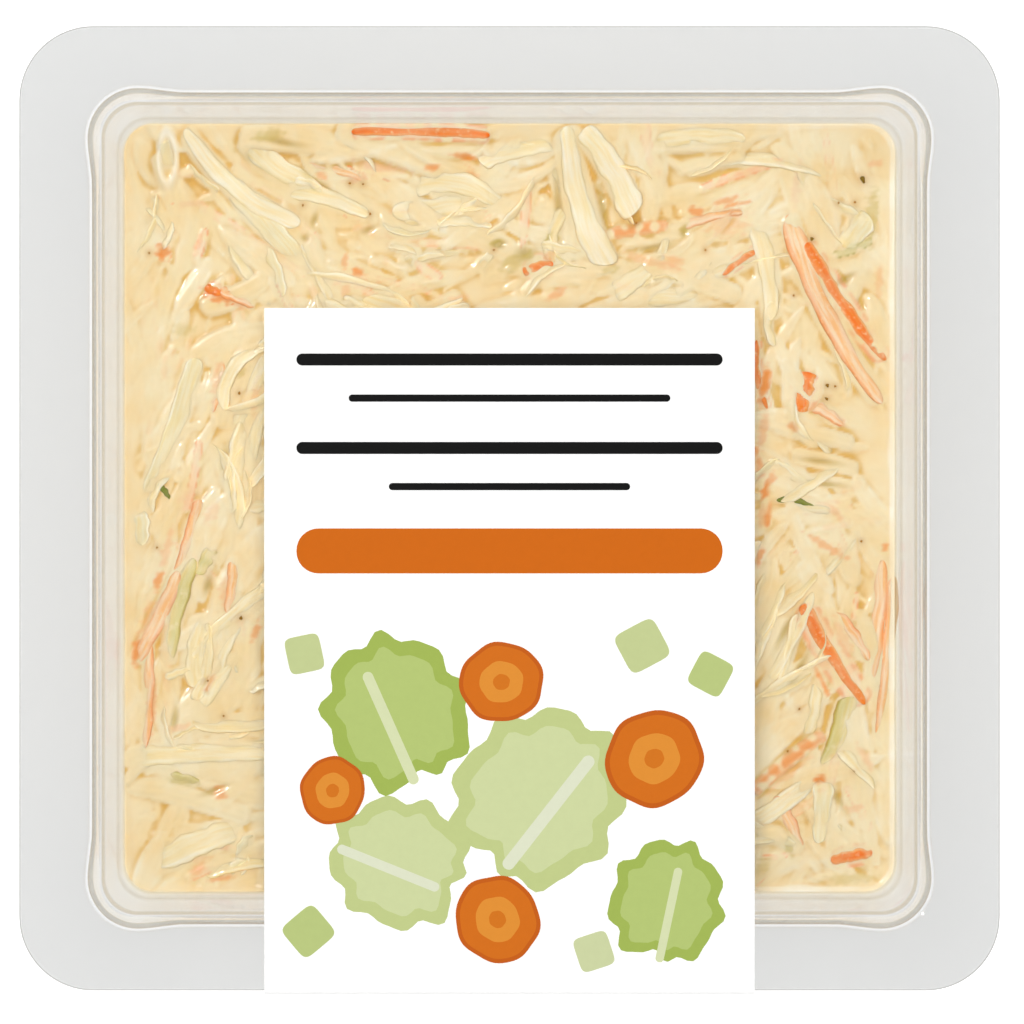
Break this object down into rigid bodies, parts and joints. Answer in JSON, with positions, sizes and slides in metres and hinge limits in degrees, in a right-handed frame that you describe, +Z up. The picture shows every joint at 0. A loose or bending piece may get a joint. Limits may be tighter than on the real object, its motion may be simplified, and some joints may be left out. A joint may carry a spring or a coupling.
{
  "type": "tub of coleslaw",
  "caption": "Sealed clear square tub of coleslaw, with a clear film lid on its wide flange and a plain white label folded over the front edge.",
  "frame": {"origin": "centre of the pack's outline, on the surface that its base stands on", "axes": "+Z up out of the film lid, -Y out of the front where the label folds down, +X to the right seen from above with the label at the bottom"},
  "size_m": [0.122, 0.1206, 0.0504],
  "materials": {
    "tray_plastic": "clear thermoformed sheet, glossy",
    "lid_film": "clear peel film, glossy",
    "label_paper": "smooth coated white paper",
    "label_print": "flat printed colour fields on the label",
    "dressing": "cream mayonnaise dressing, wet",
    "cabbage": "shredded white cabbage, wet and slightly see-through",
    "carrot": "shredded carrot, wet",
    "greens": "green-tinged leaf pieces and dark specks, wet"
  },
  "bodies": {
    "root": {"tub": "tray_plastic", "lid_film": "lid_film", "label": "label_paper", "coleslaw": "dressing"}
  },
  "joints": []
}
